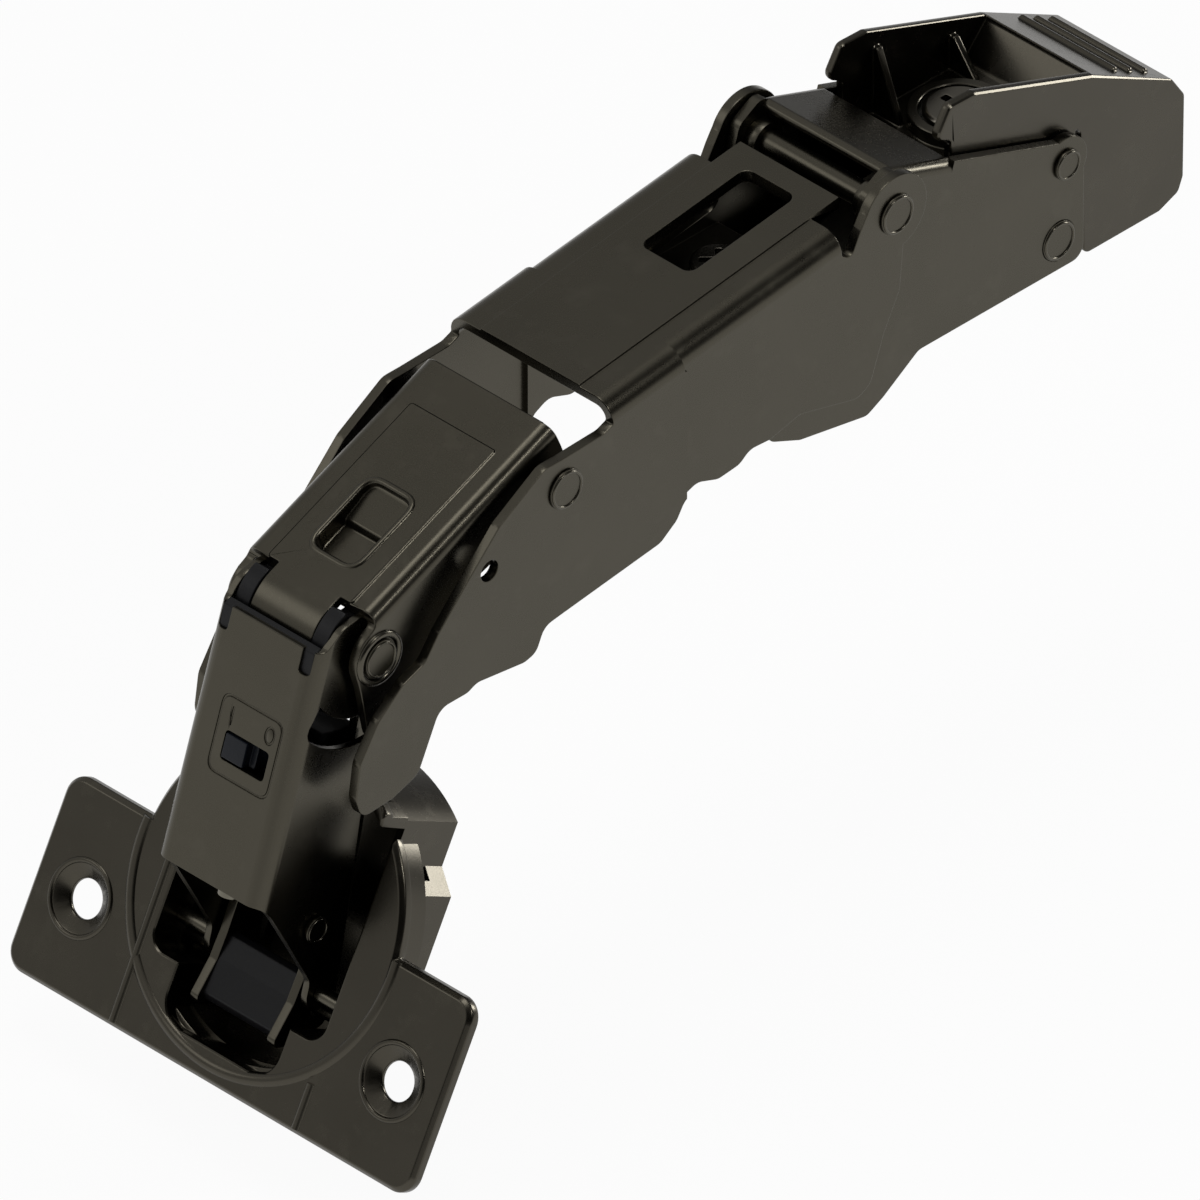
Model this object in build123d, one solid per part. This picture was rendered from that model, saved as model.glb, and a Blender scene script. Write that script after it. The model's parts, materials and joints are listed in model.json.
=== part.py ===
from build123d import *
import math
import os

# Concealed cup hinge, modelled fully open, in millimetres.
# X points to the front, towards the door. Y runs along every hinge pin. Z is up, away from the cabinet wall.
# The origin is on the underside of the base's seat plate, which rests on the mounting plate.

# Sheet steel
sheet = 1.2
thin_sheet = 0.9
gap = 0.2
loose = 0.3
joggle = 0.5
weld = 0.1
nose_room = 0.9

# Rivet heads, which the nested channels leave room for
head_r = 2.3
head_rise = 0.3

# Half widths of the nested channels, outer faces. Each fits inside or around its neighbour.
base_half = 9.8
arm_half = base_half + gap + sheet
arm_front_half = arm_half + joggle
cheek_half = arm_front_half - sheet - head_rise - nose_room
link_half = cheek_half - sheet - weld
cover_half = link_half - weld - gap
inner_half = cover_half - thin_sheet - loose
lever_half = base_half - sheet - loose

# Pivot places in the X Z plane: a start, then each link's span and slope
tilt_x = 21.35
tilt_z = 14.24
fold_x = 69.4
fold_z = 4.26
link_span = 26.2
link_slope = -22.9
cover_span = 39.8
cover_slope = -80.1
swing_along = 28.4
swing_drop = 9.0
lever_pivot_x = -4.76
lever_pivot_z = 6.91
catch_x = -3.75
catch_z = -2.13

# Pins and rivets
tilt_pin_r = 1.4
fold_rivet_r = 1.4
knuckle_r = 1.3
swing_r = 0.8
cup_pin_r = 0.95
tail_pin_r = 0.9
lever_pin_r = 1.5
catch_r = 1.5
running = 0.05
loop_play = 0.3

# Base
seat_thick = 1.5
seat_back_x = -1.5
seat_front_x = 29.5
base_front_x = 38.3
lever_ear_r = 3.1
catch_ear_r = 3.4
base_drop = 5.8
base_top_slope = math.degrees(math.atan(0.348))
base_top_x = 21.0
base_top_z = 18.5
base_web_length = 9.6

# Adjusting screws
cam_x = 0.9
cam_stem_r = 2.6
cam_head_r = 3.8
collar_r = 5.4
side_screw_x = 35.6
side_stem_r = 2.0

# Arm
arm_web_x = 25.4
arm_web_z = 16.08
arm_web_slope = -7.3
arm_web_length = 37.7
arm_bend_x = 29.4
arm_bend_r = 2.4
arm_panel_half = 7.1
arm_panel_rise = 0.25
arm_side_drop = 2.6
window_start = 2.7
window_length = 15.3
window_half = 3.6
joggle_x = 52.5
ear_r = 4.5
spare_hole_x = 80.2
spare_hole_z = -0.6
spare_hole_r = 1.2

# Link
link_web_v = 5.4
link_web_back = 3.0
link_web_front = 24.7
link_tab_r = 5.8
link_tab_half = 4.3
dimple_u = 17.0
dimple_length = 9.9
dimple_width = 6.2
dimple_depth = 2.4
knuckle_ear_r = 3.6

# Cover link
cover_web_angle = -71.4
cover_web_c = 7.2
cover_top_s = -1.6
cover_bottom_s = 28.3
switch_window_s = 12.05
switch_window_length = 3.2
switch_window_y = -2.0
switch_window_width = 6.05
switch_seat_c = 4.0
notch_low_r = 7.6
notch_high_r = 10.9
notch_angle = 42.0

# Cup. b runs towards the flange's front edge, depths run down from the flange's face.
cup_open_angle = 27.8
cup_pin_depth = 3.7
cup_pin_b = -3.0
tail_pin_depth = 6.2
tail_pin_b = -1.0
cup_r = 17.5
cup_centre_b = -9.5
flange_thick = 1.5
flange_half = 29.2
flange_back_b = -11.5
flange_front_b = 10.2
rim_r = 17.8
collar_length = 2.6
cup_depth = 12.2
cup_wall = 0.9
cup_floor = 1.0
cup_side_half = 12.6
cup_rear_half = 10.2
cup_step_b = -17.4
cup_step_length = 2.3
pocket_half = 12.3
pocket_back_b = -25.6
pocket_mid_b = 0.6
pocket_front_b = 6.8
pocket_front_half = 8.0
well_depth = 12.5
well_mid_b = -1.6
well_length = 14.2
well_half = inner_half + nose_room
belly_depth = 13.1
rear_notch_half = 8.4
rear_notch_depth = 2.6
pin_seat = 0.3
screw_spacing = 45.0
screw_hole_r = 2.1
screw_sink_r = 3.7
screw_sink_depth = 1.0


def along(start, slope, u, v):
    """Point at u along and v across a direction in the X Z plane."""
    angle = math.radians(slope)
    x = start[0] + u * math.cos(angle) - v * math.sin(angle)
    z = start[1] + u * math.sin(angle) + v * math.cos(angle)
    return (x, z)


tilt_at = (tilt_x, tilt_z)
fold_at = (fold_x, fold_z)
lever_at = (lever_pivot_x, lever_pivot_z)
catch_at = (catch_x, catch_z)
knuckle_at = along(fold_at, link_slope, link_span, 0)
swing_at = along(fold_at, link_slope, swing_along, -swing_drop)
cup_pin_at = along(knuckle_at, cover_slope, cover_span, 0)
cup_slope = cup_open_angle - 90
cup_mid = along(cup_pin_at, cup_slope, -cup_pin_b, cup_pin_depth)
tail_at = along(cup_mid, cup_slope, tail_pin_b, -tail_pin_depth)
inner_span = math.dist(swing_at, tail_at)
inner_slope = math.degrees(math.atan2(tail_at[1] - swing_at[1], tail_at[0] - swing_at[0]))


def outline(points, radius):
    """Closed face with rounded corners. Each corner's radius is limited by the two sides that meet there."""
    radii = []
    count = len(points)
    for index, point in enumerate(points):
        before = points[index - 1]
        after = points[(index + 1) % count]
        side_in = math.dist(before, point)
        side_out = math.dist(point, after)
        heading_in = math.atan2(point[1] - before[1], point[0] - before[0])
        heading_out = math.atan2(after[1] - point[1], after[0] - point[0])
        turn = abs((heading_out - heading_in + math.pi) % (2 * math.pi) - math.pi)
        room = 0.45 * min(side_in, side_out) / math.tan(max(turn, 0.02) / 2)
        radii.append(min(radius, room))
    return make_face(FilletPolyline(*points, radius=radii, close=True))


def disc(place, radius):
    return Pos(place[0], place[1]) * Circle(radius)


def slab(face, low, high):
    """A face drawn in X Z, filled from Y low to Y high."""
    return Pos(0, high, 0) * extrude(Plane.XZ * face, amount=high - low, dir=(0, -1, 0))


def both_sides(face, low, high):
    return slab(face, low, high) + slab(face, -high, -low)


def rod(place, radius, low, high):
    return slab(disc(place, radius), low, high)


def rivet(place, radius, half, top_r, rise):
    """A plain rivet across the hinge with a low round head at each end."""
    body = rod(place, radius, -half, half)
    body += rod(place, top_r, half, half + rise)
    body += rod(place, top_r, -half - rise, -half)
    return body


def frame_points(start, slope, points):
    return [along(start, slope, u, v) for u, v in points]


def base_top(x, below=0.0):
    """Height of the sloping top line of the base at x."""
    return base_top_z + (x - base_top_x) * math.tan(math.radians(base_top_slope)) - below


def make_base_frame():
    """Folded channel: two side plates, a short top bridge, a lower tongue and a front hook."""
    side = outline([
        (-7.4, -base_drop), (16.5, -base_drop), (21.6, -9.1), (24.0, -10.3), (33.7, -8.5),
        (base_front_x, -6.5), (base_front_x, 4.6), (36.4, 7.0), (27.6, 8.2), (25.0, tilt_z - 1.0),
        (24.0, 16.8), (base_top_x, base_top_z), (-4.9, base_top(-4.9)), (-7.4, lever_pivot_z)], 1.6)
    side += disc(lever_at, lever_ear_r)
    side += disc(catch_at, catch_ear_r)
    body = both_sides(side, base_half - sheet, base_half)
    rear_x = base_top_x - base_web_length
    bridge = outline([
        (rear_x, base_top(rear_x)), (base_top_x - 1.2, base_top(base_top_x - 1.2)), (20.7, 17.9),
        (20.7, 17.0), (19.6, 16.6), (18.6, base_top(18.6, sheet)),
        (rear_x, base_top(rear_x, sheet))], 0.7)
    body += slab(bridge, -base_half, base_half)
    tongue_x = base_front_x - loose
    tongue = outline([(27.0, 5.2), (tongue_x, 5.2), (tongue_x, 6.4), (27.0, 6.4)], 0.3)
    body += slab(tongue, sheet - base_half, base_half - sheet)
    hook = outline([(31.0, -8.8), (37.6, -6.6), (37.2, -5.2), (30.8, -7.4)], 0.5)
    body += slab(hook, sheet - base_half, base_half - sheet)
    body -= rod(tilt_at, tilt_pin_r, -20, 20)
    body -= rod(lever_at, lever_pin_r, -20, 20)
    body -= rod(catch_at, head_r, -20, 20)
    body -= Pos(side_screw_x, 0, 5.8) * Cylinder(side_stem_r + running, 4)
    return body


def make_seat_plate():
    """Flat plate between the side plates; its underside is the mounting face."""
    half = base_half - sheet
    middle = (seat_back_x + seat_front_x) / 2
    plate = Pos(middle, 0, seat_thick / 2) * Box(seat_front_x - seat_back_x, 2 * half, seat_thick)
    plate = fillet(plate.edges().filter_by(Axis.Z), 0.8)
    slot = Pos(19.5, 0, seat_thick / 2) * extrude(SlotOverall(9.0, 4.2), amount=seat_thick, both=True)
    boss = Pos(cam_x, 0, seat_thick + 1.45) * Cylinder(3.7, 3.1)
    bore = Pos(cam_x, 0, seat_thick + 2.0) * Cylinder(cam_stem_r + running, 4.0)
    return plate - slot + boss - bore


def make_lever_spring():
    """Flat spring clamped on the seat plate, pressing up under the clip lever."""
    strip = outline([
        (seat_front_x - 0.9, seat_thick), (seat_front_x - 0.9, seat_thick + 0.5), (24.4, seat_thick + 0.5),
        (13.0, 7.3), (7.6, 7.9), (7.5, 7.5), (12.8, 6.8), (24.2, seat_thick)], 1.5)
    return slab(strip, -2.6, 2.6)


def make_clip_lever():
    """Cast release lever: open tray with gussets, grip ridges at the back and a hollow rear block."""
    shell = outline([
        (12.7, 17.4), (10.6, 20.8), (7.0, 20.7), (-10.3, 14.4), (-21.8, 8.3), (-23.6, 5.6), (-23.5, -4.5),
        (-22.8, -6.2), (-20.0, -7.3), (-9.0, -7.3), (-8.4, 4.0), (-8.4, 8.9), (10.5, 8.9), (10.5, 16.3)], 1.0)
    body = slab(shell, -lever_half, lever_half)
    lug = disc(lever_at, 3.0)
    lug += outline([(-7.7, 6.9), (-7.7, 9.6), (-1.8, 9.6), (-1.8, 6.9)], 0.1)
    body += both_sides(lug, lever_half - 1.6, lever_half)
    tray_half = lever_half - 1.1
    tray = outline([(20.0, 10.3), (20.0, 26.0), (-12.6, 26.0), (-10.2, 14.0), (-7.0, 10.3)], 0.8)
    body -= slab(tray, -tray_half, tray_half)
    cavity = outline([(-8.0, -9.0), (-8.0, 8.0), (-11.5, 9.6), (-21.4, 5.4), (-21.8, -9.0)], 0.8)
    body -= slab(cavity, 1.4 - lever_half, lever_half - 1.4)
    lip = outline([(-22.2, -7.0), (-17.4, -7.3), (-17.4, -6.2), (-22.2, -4.9)], 0.3)
    body += slab(lip, 1.0 - lever_half, lever_half - 1.0)
    for x, top in ((5.7, 18.4), (-5.4, 14.4)):
        for side in (-1, 1):
            rib = Plane.YZ * make_face(Polyline(
                (side * (tray_half + 0.4), top), (side * (tray_half + 0.4), 10.2),
                (side * (tray_half - 3.8), 10.2), (side * (tray_half - 0.6), top), close=True))
            body += Pos(x, 0, 0) * extrude(rib, amount=0.45, both=True)
    body += Pos(cam_x, 0, 11.0) * Cylinder(collar_r, 1.8)
    body -= Pos(cam_x, 0, 10.6) * Cylinder(cam_head_r + 0.4, 6)
    for step in range(3):
        x = -14.9 - 2.2 * step
        z = 8.3 + (x + 21.8) * 0.530
        ridge = Pos(x, z) * Circle(0.45)
        body += slab(ridge, 1.5 - lever_half, lever_half - 1.5)
    body -= rod(lever_at, lever_pin_r + running, -lever_half - 0.01, lever_half + 0.01)
    return body


def make_cam_screw():
    """Depth adjusting screw with a cross slot, standing on the seat plate inside the tray's collar."""
    low = seat_thick + running
    body = Pos(cam_x, 0, (low + 10.8) / 2) * Cylinder(cam_stem_r, 10.8 - low)
    body += Pos(cam_x, 0, 11.5) * Cylinder(cam_head_r, 1.4)
    body = chamfer(body.edges().group_by(Axis.Z)[-1], 0.35)
    for turn in (0, 90):
        body -= Pos(cam_x, 0, 12.2) * Rot(0, 0, turn) * Box(4.6, 0.9, 2.4)
    return body


def make_side_screw():
    """Side adjusting screw under the arm's window, threaded in the base's tongue."""
    body = Pos(side_screw_x, 0, 5.9) * Cylinder(side_stem_r, 6.2)
    body += Pos(side_screw_x, 0, 9.3) * Cylinder(3.1, 1.6)
    body = chamfer(body.edges().group_by(Axis.Z)[-1], 0.3)
    for turn in (45, 135):
        body -= Pos(side_screw_x, 0, 10.1) * Rot(0, 0, turn) * Box(4.0, 0.8, 2.0)
    return body


def make_tilt_bushes():
    bush = disc(tilt_at, 2.2) - disc(tilt_at, tilt_pin_r)
    inner = base_half - sheet
    return both_sides(bush, inner - 1.6, inner)


def arm_web_line(x, drop=0.0):
    return arm_web_z + (x - arm_web_x) * math.tan(math.radians(arm_web_slope)) - drop


def arm_web_section(half):
    """Flat top with a round bend down to each side plate."""
    outer = Pos(0, -10) * RectangleRounded(2 * half, 20, arm_bend_r)
    inner = Pos(0, -10 - sheet) * RectangleRounded(2 * (half - sheet), 20, arm_bend_r - sheet)
    depth = arm_side_drop + 1.6
    return (outer - inner) & (Pos(0, -depth / 2) * Rectangle(2 * half + 2, depth))


def arm_web_plane(x):
    angle = math.radians(arm_web_slope)
    return Plane(origin=(x, 0, arm_web_line(x)), x_dir=(0, 1, 0), z_dir=(math.cos(angle), 0, math.sin(angle)))


def make_arm():
    """Long stamped channel with a window, ears for the tilt pin, a joggle and deep wavy side plates."""
    lower = [
        (20.2, 10.2), (20.7, 4.5), (22.9, 0.4), (24.9, -5.1), (26.8, -6.1), (35.1, -3.9), (39.4, -4.9),
        (42.3, -4.7), (43.8, -5.8), (46.9, -6.1), (49.9, -5.0), (52.2, -5.8), (53.4, -7.7), (55.6, -9.4),
        (70.2, -11.2), (72.3, -11.5), (73.5, -14.1), (75.2, -14.5), (82.0, -13.6), (83.3, -14.2),
        (87.3, -14.2), (90.4, -20.7), (94.0, -21.9), (98.5, -22.2), (99.3, -19.6), (98.7, -15.5),
        (96.1, -11.5), (92.6, -8.6), (89.4, -7.4), (87.4, -4.7), (83.1, -0.2), (78.8, 4.1), (72.3, 8.0),
        (69.8, 8.0), (63.8, 8.2)]
    front_x = arm_web_x + arm_web_length - 0.6
    top = [
        (front_x, arm_web_line(front_x, arm_side_drop)),
        (arm_bend_x, arm_web_line(arm_bend_x, arm_side_drop)), (27.8, 11.9), (26.4, 14.6), (24.9, 17.0)]
    side = outline(lower + top, 2.0)
    side += disc(tilt_at, ear_r)
    rear_zone = Pos(joggle_x - 50 + 0.6, 0) * Rectangle(100, 100)
    front_zone = Pos(joggle_x + 50 - 0.6, 0) * Rectangle(100, 100)
    body = both_sides(side & rear_zone, arm_half - sheet, arm_half)
    body += both_sides(side & front_zone, arm_front_half - sheet, arm_front_half)
    lean = math.cos(math.radians(arm_web_slope))
    rear = arm_web_plane(arm_bend_x) * arm_web_section(arm_half)
    body += extrude(rear, amount=(joggle_x - arm_bend_x) / lean)
    front = arm_web_plane(joggle_x) * arm_web_section(arm_front_half)
    body += extrude(front, amount=arm_web_length - (joggle_x - arm_web_x) / lean)
    panel_thick = sheet + arm_panel_rise
    panel = Pos(0, arm_panel_rise - panel_thick / 2) * Rectangle(2 * arm_panel_half, panel_thick)
    body += extrude(arm_web_plane(arm_web_x) * panel, amount=arm_web_length)
    window_mid = arm_web_x + window_start + window_length / 2
    opening = RectangleRounded(window_length, 2 * window_half, 1.1)
    body -= Pos(window_mid, 0, arm_web_z - 5) * extrude(opening, amount=10)
    body -= rod(tilt_at, tilt_pin_r + running, -20, 20)
    body -= rod(fold_at, fold_rivet_r, -20, 20)
    body -= rod((spare_hole_x, spare_hole_z), spare_hole_r, -20, 20)
    return body


def link_face(points, radius):
    return outline(frame_points(fold_at, link_slope, points), radius)


def make_link():
    """Middle channel with a pressed dimple, and two cheeks that carry the knuckle and the inner lever."""
    wall = link_face([
        (-link_web_back, 1.0), (-2.2, -2.8), (2.5, -3.4), (14.0, -2.6), (20.5, -2.4),
        (20.5, link_web_v - 0.4), (-link_web_back, link_web_v)], 1.0)
    wall += disc(fold_at, 3.8)
    body = both_sides(wall, link_half - sheet, link_half)
    web = link_face([
        (-link_web_back, link_web_v - sheet), (link_web_front, link_web_v - sheet),
        (link_web_front, link_web_v), (-link_web_back, link_web_v)], 0.3)
    body += slab(web, -link_half, link_half)
    wide = link_face([
        (16.4, link_web_v - sheet), (link_web_front, link_web_v - sheet), (link_web_front, link_web_v),
        (16.4, link_web_v)], 0.3)
    body += slab(wide, -cheek_half, cheek_half)
    ring = disc(knuckle_at, link_tab_r) - disc(knuckle_at, link_tab_r - sheet)
    bend = make_face(Polyline(*frame_points(knuckle_at, link_slope, [
        (0, 0), (-2.6, 8.0), (8.0, 8.0), (8.0, -1.0)]), close=True))
    body += slab(ring & bend, -link_tab_half, link_tab_half)
    cheek = link_face([
        (15.6, -2.4), (15.6, link_web_v - 0.4), (22.6, link_web_v - 0.4), (24.6, 3.3), (29.0, 2.3),
        (31.0, -8.4), (28.4, -11.5), (25.8, -9.6), (22.4, -3.4)], 1.4)
    cheek += disc(knuckle_at, knuckle_ear_r)
    cheek += disc(swing_at, 2.6)
    body += both_sides(cheek, link_half - weld, cheek_half)
    plane = Plane(
        origin=(along(fold_at, link_slope, dimple_u, link_web_v)[0], 0,
                along(fold_at, link_slope, dimple_u, link_web_v)[1]),
        x_dir=(math.cos(math.radians(link_slope)), 0, math.sin(math.radians(link_slope))),
        z_dir=(-math.sin(math.radians(link_slope)), 0, math.cos(math.radians(link_slope))))
    tray = RectangleRounded(dimple_length + 1.2, dimple_width + 1.2, 2.2)
    body += plane * Pos(0, 0, -dimple_depth - 1.0) * extrude(tray, amount=dimple_depth + 0.6)
    hollow = RectangleRounded(dimple_length - 1.0, dimple_width - 1.0, 1.6)
    body -= plane * Pos(0, 0, -dimple_depth) * extrude(hollow, amount=dimple_depth + 1, taper=-12)
    body += plane * Pos(-2.2, 0, -dimple_depth - 0.1) * Box(3.6, dimple_width - 1.2, 1.0)
    body -= rod(fold_at, fold_rivet_r + running, -20, 20)
    body -= rod(knuckle_at, knuckle_r, -20, 20)
    body -= rod(swing_at, swing_r, -20, 20)
    return body


def cover_face(points, radius):
    return outline(frame_points(knuckle_at, cover_web_angle, points), radius)


def cover_plane(s, c, y=0.0):
    """Plane on the cover link: X along it, Y across the hinge, normal out of its web."""
    angle = math.radians(cover_web_angle)
    place = along(knuckle_at, cover_web_angle, s, c)
    return Plane(origin=(place[0], y, place[1]), x_dir=(math.cos(angle), 0, math.sin(angle)),
                 z_dir=(-math.sin(angle), 0, math.cos(angle)))


def make_cover_link():
    """Narrow cover link: web with the switch window and two side walls notched for the inner lever's pin."""
    pin_s, pin_c = cover_local(cup_pin_at)
    wall = cover_face([
        (cover_top_s, cover_web_c), (-3.0, 0.0), (-1.8, -3.0), (6.0, -3.6), (12.0, -4.4),
        (36.5, pin_c - 2.2), (pin_s, pin_c - 1.6), (pin_s - 1.6, pin_c + 2.0), (33.3, 0.5),
        (cover_bottom_s + 0.9, cover_web_c - 2.4), (cover_bottom_s, cover_web_c - thin_sheet),
        (cover_bottom_s, cover_web_c)], 0.8)
    wall += disc(knuckle_at, 3.4)
    wall += disc(cup_pin_at, 2.0)
    reach = notch_high_r + 6
    high = math.radians(notch_angle)
    wedge = make_face(Polyline(*frame_points(knuckle_at, cover_web_angle, [
        (0, 0), (reach * math.cos(high), reach * math.sin(high)), (reach, -reach), (0, -reach)]), close=True))
    ring = (disc(knuckle_at, notch_high_r) - disc(knuckle_at, notch_low_r)) & wedge
    wall -= ring
    body = both_sides(wall, cover_half - thin_sheet, cover_half)
    web = cover_face([
        (cover_top_s, cover_web_c - thin_sheet), (cover_bottom_s, cover_web_c - thin_sheet),
        (cover_bottom_s, cover_web_c), (cover_top_s, cover_web_c)], 0.3)
    body += slab(web, -cover_half, cover_half)
    window_s = switch_window_s + switch_window_length / 2
    window_y = switch_window_y + switch_window_width / 2
    opening = Rectangle(switch_window_length, switch_window_width)
    body -= cover_plane(window_s, cover_web_c - 2, window_y) * extrude(opening, amount=4)
    body -= rod(knuckle_at, knuckle_r + running, -20, 20)
    body -= rod(cup_pin_at, cup_pin_r + running, -20, 20)
    body -= rod(along(knuckle_at, cover_web_angle, 31.5, -2.5), 1.0, -20, 20)
    return body


def cover_local(place):
    """Coordinates of a point along and across the cover link."""
    angle = math.radians(cover_web_angle)
    dx = place[0] - knuckle_at[0]
    dz = place[1] - knuckle_at[1]
    return (dx * math.cos(angle) + dz * math.sin(angle), dz * math.cos(angle) - dx * math.sin(angle))


def make_side_studs():
    place = along(knuckle_at, cover_web_angle, 31.5, -2.5)
    stud = rod(place, 1.0, cover_half - thin_sheet, cover_half)
    stud += rod(place, 1.5, cover_half, cover_half + 0.35)
    other = rod(place, 1.0, -cover_half, thin_sheet - cover_half)
    other += rod(place, 1.5, -cover_half - 0.35, -cover_half)
    return stud + other


def make_damper_housing():
    under = cover_web_c - thin_sheet
    low = switch_window_s - 0.5
    high = switch_window_s + switch_window_length + 0.5
    block = cover_face([
        (low, 0.6), (27.2, 0.6), (27.2, under), (high, under), (high, switch_seat_c),
        (low, switch_seat_c)], 0.5)
    return slab(block, -4.9, 4.9)


def make_damper_piston():
    plane = cover_plane(28.8, 2.9)
    return plane * Rot(0, 90, 0) * Cylinder(1.2, 3.2)


def make_damper_switch():
    """Sliding switch: a knob in the window and a wider shoe under the web."""
    middle_s = switch_window_s + switch_window_length / 2
    under = cover_web_c - thin_sheet
    low = switch_seat_c + running
    shoe_high = under - 0.1 - low
    knob_y = switch_window_y + 0.15 + 1.5
    length = switch_window_length - 0.5
    shoe = cover_plane(middle_s, low + shoe_high / 2, knob_y) * Box(length, 4.6, shoe_high)
    knob_high = cover_web_c + 0.1 - low
    knob = cover_plane(middle_s, low + knob_high / 2, knob_y) * Box(length, 3.0, knob_high)
    return shoe + knob


def inner_face(points, radius):
    return outline(frame_points(swing_at, inner_slope, points), radius)


def make_inner_lever():
    """Inner lever: two plates joined by a short bridge, forked and hooked at the cup end."""
    corners = [(-2.1, -4.1), (-2.0, -1.1), (-0.95, 3.2), (-1.6, 3.8), (-4.2, 3.4), (-7.8, 1.0), (-8.6, -1.8),
               (-7.6, -3.6)]
    fork = [cup_side(n, b) for n, b in corners]
    bar = frame_points(swing_at, inner_slope, [
        (inner_span - 6.0, -2.1), (10.0, -2.1), (0.0, -2.3), (-2.0, -0.2), (-1.0, 1.4), (2.0, 1.5),
        (10.0, 1.9), (inner_span - 9.0, 1.9)])
    plate = outline(bar + fork, 1.2)
    body = both_sides(plate, inner_half - sheet, inner_half)
    bridge = inner_face([(21.0, -2.1), (28.0, -2.1), (28.0, -1.0), (21.0, -1.0)], 0.3)
    body += slab(bridge, sheet - inner_half, inner_half - sheet)
    body -= rod(swing_at, swing_r + running, -20, 20)
    body -= rod(tail_at, tail_pin_r + loop_play, -20, 20)
    return body


def cup_side(n, b):
    """Point in X Z from the height n above the flange face and the distance b towards its front edge."""
    return along(cup_mid, cup_slope, b, n)


def make_buffer_block():
    """Moulded block between the fork's two plates."""
    half = inner_half - sheet
    corners = [(-2.8, -3.9), (-2.2, -1.4), (-1.6, 2.4), (-2.4, 3.3), (-4.2, 2.9), (-4.5, 0.6), (-4.6, -2.6),
               (-3.6, -4.6)]
    shape = outline([cup_side(n, b) for n, b in corners], 0.5)
    return slab(shape, -half, half)


def cup_plane(n):
    angle = math.radians(cup_slope)
    place = cup_side(n, 0)
    return Plane(origin=(place[0], 0, place[1]), x_dir=(math.cos(angle), 0, math.sin(angle)),
                 z_dir=(-math.sin(angle), 0, math.cos(angle)))


def cup_outline(shrink):
    """Plan of the cup below its collar: round front and back, flat sides that step in towards the back."""
    side = cup_side_half - shrink
    rear = cup_rear_half - shrink
    step_front = cup_step_b + cup_step_length / 2
    step_back = cup_step_b - cup_step_length / 2
    half = [(-40, rear), (step_back, rear), (step_front, side), (20, side)]
    flats = make_face(Polyline(*half, *[(b, -y) for b, y in reversed(half)], close=True))
    return flats & (Pos(cup_centre_b, 0) * Circle(cup_r - 0.2 - shrink))


def make_cup():
    """Pressed cup with its screw flange: round collar, flat sides, link pocket and two countersunk holes."""
    face = cup_plane(0)
    centre = Pos(cup_centre_b, 0)
    flange_length = flange_front_b - flange_back_b
    middle = Pos((flange_front_b + flange_back_b) / 2, 0)
    plate = middle * RectangleRounded(flange_length, 2 * flange_half, 2.4) + centre * Circle(rim_r)
    body = Pos(0, 0, -flange_thick) * extrude(plate, amount=flange_thick)
    body = chamfer(body.edges().group_by(Axis.Z)[-1], 0.5)
    low = flange_thick + collar_length
    body += Pos(0, 0, -low) * extrude(centre * Circle(cup_r), amount=collar_length)
    body += Pos(0, 0, -cup_depth) * extrude(cup_outline(0), amount=cup_depth - low + 0.2)
    belly = Pos(well_mid_b, 0) * RectangleRounded(well_length + 1.4, 2 * well_half + 1.4, 2.0)
    body += Pos(0, 0, -belly_depth) * extrude(belly & cup_outline(0), amount=2.0)
    main = Pos((pocket_back_b + pocket_mid_b) / 2, 0) * RectangleRounded(
        pocket_mid_b - pocket_back_b, 2 * pocket_half, 2.0)
    front_length = pocket_front_b + 8.0
    front = Pos(pocket_front_b - front_length / 2, 0) * RectangleRounded(front_length, 2 * pocket_front_half, 3.0)
    room = centre * Circle(cup_r - cup_wall)
    body -= Pos(0, 0, -flange_thick) * extrude((main & room) + front, amount=flange_thick + 1)
    body -= Pos(0, 0, -low) * extrude((main + front) & room, amount=low)
    inside = (main + front) & cup_outline(cup_wall)
    body -= Pos(0, 0, cup_floor - cup_depth) * extrude(inside, amount=cup_depth)
    well = Pos(well_mid_b, 0) * RectangleRounded(well_length, 2 * well_half, 1.5)
    body -= Pos(0, 0, -well_depth) * extrude(well & cup_outline(cup_wall), amount=3.0)
    body -= Pos(-27.0, 0, 0) * Box(8.0, 2 * rear_notch_half, 2 * rear_notch_depth)
    nose_width = pocket_half - cup_rear_half
    for side in (-1, 1):
        nose = Pos(cup_step_b - 7.0, side * (cup_rear_half + nose_width / 2), -3.5)
        body -= nose * Box(14.0, nose_width, 12.0)
        spot = Pos(0, side * screw_spacing / 2, 0)
        body -= spot * Cylinder(screw_hole_r, 8)
        body -= spot * Pos(0, 0, -screw_sink_depth / 2) * Cone(screw_hole_r, screw_sink_r, screw_sink_depth)
    body = face * body
    pin_end = cup_side_half - pin_seat
    body -= rod(cup_pin_at, cup_pin_r, -pin_end, pin_end)
    body -= rod(tail_at, tail_pin_r, -pin_end, pin_end)
    return body


def make_cup_pins():
    low = cover_half - thin_sheet - 0.1
    return both_sides(disc(cup_pin_at, cup_pin_r), low, cup_side_half - pin_seat)


def make_tail_pin():
    pin_end = cup_side_half - pin_seat
    return rod(tail_at, tail_pin_r, -pin_end, pin_end)


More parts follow.
